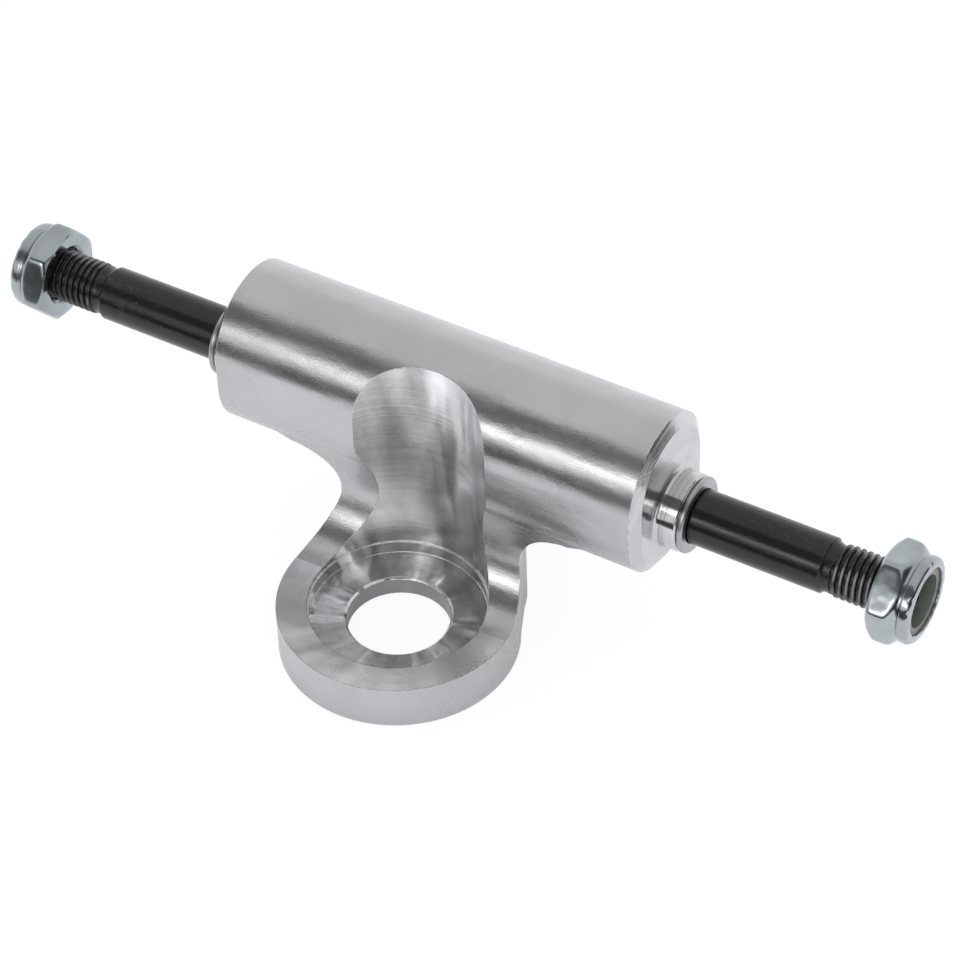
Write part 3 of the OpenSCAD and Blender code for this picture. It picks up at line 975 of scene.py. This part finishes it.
@dataclass
class LockNut:
    """A lock nut: a hexagon with soft corners, a waist, and a collar crimped over the nylon ring."""

    side: Side
    sides: int = 144
    across_flats: float = 13.0 * MM
    face_r: float = 6.4 * MM
    foot_chamfer: float = 0.65 * MM
    hex_h: float = 4.2 * MM
    corner_chamfer: float = 1.3 * MM
    waist_r: float = 6.05 * MM
    waist_h: float = 0.5 * MM
    collar_r: float = 6.3 * MM
    collar_roll: float = 0.8 * MM
    height: float = 6.1 * MM
    rim_hole_r: float = 4.95 * MM
    rim_t: float = 0.35 * MM
    pocket_r: float = 5.55 * MM
    insert_floor: float = 3.75 * MM
    bore_r: float = 3.86 * MM
    groove: float = 0.4 * MM
    sink: float = 0.8 * MM
    soft: float = 0.24 * MM
    crimps: int = 19
    crimp_depth: float = 0.24 * MM
    rim_break: float = 0.1 * MM
    lead_in: float = 0.4 * MM
    fade_in: float = 0.8 * MM
    fade_out: float = 0.5 * MM
    foot_ring: float = 0.04 * MM
    foot_step: float = 0.06 * MM
    side_step: float = 0.2 * MM
    head_step: float = 0.09 * MM
    rings_a_turn: int = 12
    sharp: float = 40.0

    @property
    def node(self) -> str:
        """The CAD node that this nut stands for."""
        return f"nut_{self.side.word}"

    def corner_angle(self) -> float:
        """The angle of one of the hexagon's corners, read from the CAD node.

        Returns:
            The angle from +Y towards +Z, in radians.
        """
        points = [v.co - AXLE_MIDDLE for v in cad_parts[self.node].data.vertices]
        far = max(points, key=lambda p: math.hypot(p.y, p.z))
        return math.atan2(far.z, far.y)

    def hexagon(self, angle: float, height: float) -> float:
        """The chamfered hexagon's radius.

        Args:
            angle: Angle from a corner, in radians.
            height: Height above the inner face.

        Returns:
            The radius.
        """
        flat = (angle % (math.pi / 3)) - math.pi / 6
        corner_r = self.across_flats / 2 / math.cos(math.pi / 6)
        foot = self.face_r + height * (corner_r - self.face_r) / self.foot_chamfer
        head = self.waist_r + (self.hex_h - height) * (corner_r - self.waist_r) / self.corner_chamfer
        planes = [self.across_flats / 2 / math.cos(flat + k) for k in (-math.pi / 3, 0.0, math.pi / 3)
                  if abs(flat + k) < 1.3]
        return blend_least([*planes, foot, head], self.soft)

    def collar(self, angle: float, height: float) -> float:
        """The crimped collar's radius.

        Args:
            angle: Angle from a corner, in radians.
            height: Height above the inner face.

        Returns:
            The radius.
        """
        rise = (height - self.hex_h - self.waist_h / 4) / (self.waist_h * 0.75)
        radius = self.waist_r + (self.collar_r - self.waist_r) * min(1.0, max(0.0, rise))
        over = height - (self.height - self.collar_roll)
        if over > 0:
            radius -= self.collar_roll - math.sqrt(max(0.0, self.collar_roll ** 2 - over ** 2))
            radius -= self.crimp(angle) * min(1.0, over / self.collar_roll)
        return radius

    def crimp(self, angle: float) -> float:
        """How deep the crimping tool pressed the rim at an angle."""
        press = 0.5 + 0.5 * math.cos(self.crimps * angle + 0.9 * math.sin(3 * angle))
        return self.crimp_depth * press ** 3 * (0.6 + 0.4 * math.sin(5 * angle + 1.0))

    def outside(self, angle: float, height: float) -> float:
        """The nut's outer radius.

        Args:
            angle: Angle from a corner, in radians.
            height: Height above the inner face.

        Returns:
            The radius.
        """
        if height < self.hex_h - self.corner_chamfer:
            return self.hexagon(angle, height)
        return blend_least([self.hexagon(angle, height), self.collar(angle, height)], -self.soft / 2)

    def rings(self) -> list[list[Vector]]:
        """Sets out the nut's surface.

        Returns:
            Rings of points from the inner face, over the outside, and back through the hole.
        """
        first = self.corner_angle()
        turn = [math.tau * i / self.sides for i in range(self.sides)]
        start = abs(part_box(self.node)[0 if self.side is Side.RIGHT else 1].x)

        def ring(radius: Callable[[float], float], height: float) -> list[Vector]:
            """One ring, from its radius at each angle and its height above the inner face."""
            return [about_axle(radius(a), first + a, self.side.value * (start + height)) for a in turn]

        lip = self.height - self.rim_t
        roll = [self.height - self.collar_roll * (1 - math.sin(math.radians(d))) for d in range(10, 90, 10)]
        foot, head = self.foot_chamfer * 1.3, self.hex_h - self.corner_chamfer
        levels = [0.0, *steps(self.foot_ring, foot, self.foot_step), *steps(foot, head, self.side_step)]
        levels += steps(head, self.height - self.collar_roll, self.head_step) + roll
        out = [ring(lambda a, h=h: self.outside(a, h), h) for h in levels]
        out.append(ring(lambda a: self.collar(a, self.height), self.height))
        out.append(ring(lambda a: self.rim_hole_r + self.rim_break - self.crimp(a) * 0.6, self.height))
        out.append(ring(lambda a: self.rim_hole_r - self.crimp(a) * 0.6, self.height - self.rim_break))
        out.append(ring(lambda a: self.rim_hole_r - self.crimp(a) * 0.6, lip))
        out += [ring(lambda a: self.pocket_r, h) for h in (lip, self.insert_floor)]
        thread = Thread(crest_r=self.bore_r + self.groove, root_r=self.bore_r)
        bore = [*steps(self.insert_floor, self.lead_in, thread.pitch / self.rings_a_turn), self.lead_in]
        for h in bore:
            fade = min(1.0, (self.insert_floor - h) / self.fade_out, (h - self.lead_in) / self.fade_in)
            cone = self.bore_r + max(0.0, self.sink - h)
            place = self.side.value * (start + h)
            out.append(ring(lambda a, h=h, f=fade, c=cone, x=place: max(
                c, self.bore_r + f * (thread.radius(x, first + a) - self.bore_r)), h))
        out.append(ring(lambda a: self.bore_r + self.sink, 0.0))
        return out

    def dress(self, material: bpy.types.Material) -> None:
        """Builds the nut and puts it on its body.

        Args:
            material: The finish.
        """
        piece = skin(f"lock_nut_{self.side.word}", self.rings(), True, self.sharp)
        piece.data.materials.append(material)
        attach(piece, self.node)
        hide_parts(self.node)
        log.info("%s: %d faces", piece.name, len(piece.data.polygons))


def reclothe(node: str, body: str, material: bpy.types.Material) -> None:
    """Puts a smooth, welded copy in the place of a CAD node.

    Args:
        node: The CAD node.
        body: The body that it moves with.
        material: The finish.
    """
    piece = smooth_copy(node, f"{node}_shell", CLOTHED_ANGLE)
    piece.data.materials.append(material)
    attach(piece, body)
    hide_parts(node)


def repaint(node: str, material: bpy.types.Material) -> None:
    """Gives a CAD node that stays a better material.

    Args:
        node: The CAD node.
        material: The finish.
    """
    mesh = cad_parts[node].data
    mesh.materials.clear()
    mesh.materials.append(material)


@dataclass
class Studio:
    """The camera, the lamps, the floor and the white surroundings."""

    image: int = 960
    focal: float = 4023.7
    sensor: float = 36.0
    place: Point = (219.37, -331.35, 409.3)
    right: Point = (0.8635, 0.5037, -0.0269)
    up: Point = (-0.3333, 0.6098, 0.7191)
    back: Point = (0.3786, -0.6120, 0.6945)
    room: Point = (0.97, 0.98, 1.0)
    paper: Point = (0.8, 0.8, 0.8)
    seen_shadow: float = 0.1
    mirrored_shadow: float = 1.0
    floor_size: float = 12.0
    floor_gap: float = 0.1 * MM
    white: float = 1.01
    shaded_share: float = 0.93

    def camera(self) -> None:
        """Stands the camera where the photograph was taken from."""
        data = bpy.data.cameras.new("photo_camera")
        data.sensor_width = self.sensor
        data.lens = self.focal / self.image * self.sensor
        data.clip_start, data.clip_end = 0.01, 20.0
        camera = bpy.data.objects.new("photo_camera", data)
        turn = Matrix((self.right, self.up, self.back)).transposed()
        camera.matrix_world = Matrix.Translation(Vector(self.place) * MM) @ turn.to_4x4()
        bpy.context.scene.collection.objects.link(camera)
        bpy.context.scene.camera = camera

    @staticmethod
    def shown(board: Board) -> Socket:
        """Marks the rays that see the background: the camera's, mirrored ones and those through glass.

        Args:
            board: The material's board.

        Returns:
            The mark's socket, 1 for such a ray.
        """
        path = board.add("ShaderNodeLightPath")
        through = board.math("MAXIMUM", path.outputs["Is Glossy Ray"], path.outputs["Is Transmission Ray"])
        return board.math("MAXIMUM", path.outputs["Is Camera Ray"], through)

    def world(self) -> None:
        """Surrounds the object with white, and lights it with the room's soft light."""
        world = bpy.data.worlds.new("studio")
        bpy.context.scene.world = world
        world.use_nodes = True
        board = Board(world.node_tree)
        colour = board.mix(self.shown(board), (*self.room, 1.0), (1.0, 1.0, 1.0, 1.0))
        shade = board.feed(board.add("ShaderNodeBackground"), Color=colour, Strength=1.0)
        board.join(shade.outputs[0], board.add("ShaderNodeOutputWorld").inputs["Surface"])

    def floor(self) -> None:
        """Lays a pale floor under the object, which shows as white paper with the object's soft shadow."""
        floor = self.sheet("floor", self.floor_size, self.floor_size)
        floor.location.z = cad_box[0].z - self.floor_gap
        material = bpy.data.materials.new("pale_floor")
        material.use_nodes = True
        board = Board(material.node_tree)
        camera = board.add("ShaderNodeLightPath").outputs["Is Camera Ray"]
        less = self.seen_shadow - self.mirrored_shadow
        share = board.math("MULTIPLY_ADD", camera, less, self.mirrored_shadow)
        plain = board.feed(board.add("ShaderNodeBsdfDiffuse"), Color=(*self.paper, 1.0))
        lit = board.feed(board.add("ShaderNodeBsdfDiffuse"), Color=share)
        glow = board.math("MULTIPLY_ADD", share, -self.shaded_share, self.white)
        white = board.feed(board.add("ShaderNodeEmission"), Color=(1.0, 1.0, 1.0, 1.0), Strength=glow)
        paper = board.add("ShaderNodeAddShader")
        board.join(white.outputs[0], paper.inputs[0])
        board.join(lit.outputs[0], paper.inputs[1])
        both = self.blend(board, self.shown(board), plain, paper)
        # The camera looks through the floor from underneath, so the object's lower side can be seen.
        under = board.math("MULTIPLY", camera, board.add("ShaderNodeNewGeometry").outputs["Backfacing"])
        clear = self.blend(board, under, both, board.add("ShaderNodeBsdfTransparent"))
        board.join(clear.outputs[0], board.add("ShaderNodeOutputMaterial").inputs["Surface"])
        floor.data.materials.append(material)

    @staticmethod
    def blend(board: Board, share: Socket, first: Node, second: Node) -> Node:
        """Mixes two shaders.

        Args:
            board: The material's board.
            share: Share of the second.
            first: A shader.
            second: A shader.

        Returns:
            The mixed shader.
        """
        both = board.add("ShaderNodeMixShader")
        for value, target in zip((share, first.outputs[0], second.outputs[0]), both.inputs):
            board.join(value, target)
        return both

    def sheet(self, name: str, width: float, depth: float) -> bpy.types.Object:
        """Makes a flat sheet that belongs to the studio.

        Args:
            name: The sheet's name.
            width: Its size along X, in metres.
            depth: Its size along Y, in metres.

        Returns:
            The sheet, lying at the middle of the scene.
        """
        mesh = bpy.data.meshes.new(name)
        work = bmesh.new()
        bmesh.ops.create_grid(
            work, x_segments=1, y_segments=1, size=0.5, matrix=Matrix.Diagonal((width, depth, 1.0, 1.0)))
        work.to_mesh(mesh)
        work.free()
        sheet = bpy.data.objects.new(name, mesh)
        bpy.context.scene.collection.objects.link(sheet)
        return sheet

    def card(self, name: str, middle: Point, size: tuple[float, float], tilt: float, grey: float) -> None:
        """Sets up a plain card or screen beside the object, which only shows mirrored in the metal.

        Args:
            name: The card's name.
            middle: The middle of the card, in metres.
            size: Its length and width.
            tilt: How far its width leans up, in degrees.
            grey: How light it is.
        """
        card = self.sheet(name, *size)
        card.location = middle
        turn = math.pi / 2 if middle[0] else 0.0
        card.rotation_euler = (math.radians(tilt), 0.0, turn)
        card.visible_camera = card.visible_diffuse = card.visible_shadow = False
        material = bpy.data.materials.new(name)
        material.use_nodes = True
        board = Board(material.node_tree)
        glow = board.feed(board.add("ShaderNodeEmission"), Color=(grey, grey, grey, 1.0))
        board.join(glow.outputs[0], board.add("ShaderNodeOutputMaterial").inputs["Surface"])
        card.data.materials.append(material)

    def lamp(self, name: str, place: Point, size: tuple[float, float], power: float) -> None:
        """Hangs a softbox that looks at the object.

        Args:
            name: The lamp's name.
            place: Where it hangs, in metres.
            size: Its width and height, in metres.
            power: Its power in watts.
        """
        data = bpy.data.lights.new(name, "AREA")
        data.shape = "RECTANGLE"
        data.size, data.size_y = size
        data.energy = power
        lamp = bpy.data.objects.new(name, data)
        lamp.location = place
        aim = AXLE_MIDDLE - Vector(place)
        lamp.rotation_euler = aim.to_track_quat("-Z", "Y").to_euler()
        bpy.context.scene.collection.objects.link(lamp)

    def build(self) -> None:
        """Sets up everything round the object."""
        self.camera()
        self.world()
        self.floor()
        self.card("upper_card", middle=(0.0, -0.45, 0.66), size=(4.0, 0.49), tilt=35.0, grey=0.15)
        self.card("lower_card", middle=(0.0, -0.467, 0.064), size=(4.0, 0.776), tilt=-10.0, grey=0.06)
        self.card("side_card", middle=(0.75, 0.1, 0.21), size=(1.6, 0.42), tilt=90.0, grey=0.05)
        self.card("overhead_screen", middle=(0.0, 0.55, 0.9), size=(4.0, 1.6), tilt=0.0, grey=0.84)
        self.lamp("front_strip", place=(0.02, -0.83, 0.43), size=(0.86, 0.18), power=1.45)
        bpy.context.scene.view_settings.view_transform = "Standard"


def main() -> None:
    """Builds the studio, then dresses the pieces from the hanger outwards."""
    logging.basicConfig(level=logging.INFO, format="%(message)s")
    Studio().build()
    effects = Effects()
    aluminium = [HANGER_FINISHES[way].build(effects) for way in Worked]
    black, nut, washer, ring = (f.build(effects) for f in (BLACK_OXIDE, ZINC_NUT, ZINC_WASHER, NYLON))
    Hanger().dress(aluminium)
    Axle().dress(black)
    reclothe("pivot_pin", "hanger", black)
    reclothe("pivot_jam_nut", "hanger", nut)
    log.info("pivot pin and jam nut done")
    for side in Side:
        LockNut(side).dress(nut)
        repaint(f"washer_{side.word}", washer)
        repaint(f"nut_insert_{side.word}", ring)
        log.info("%s washer and nylon ring done", side.word)


if __name__ == "__main__":
    main()
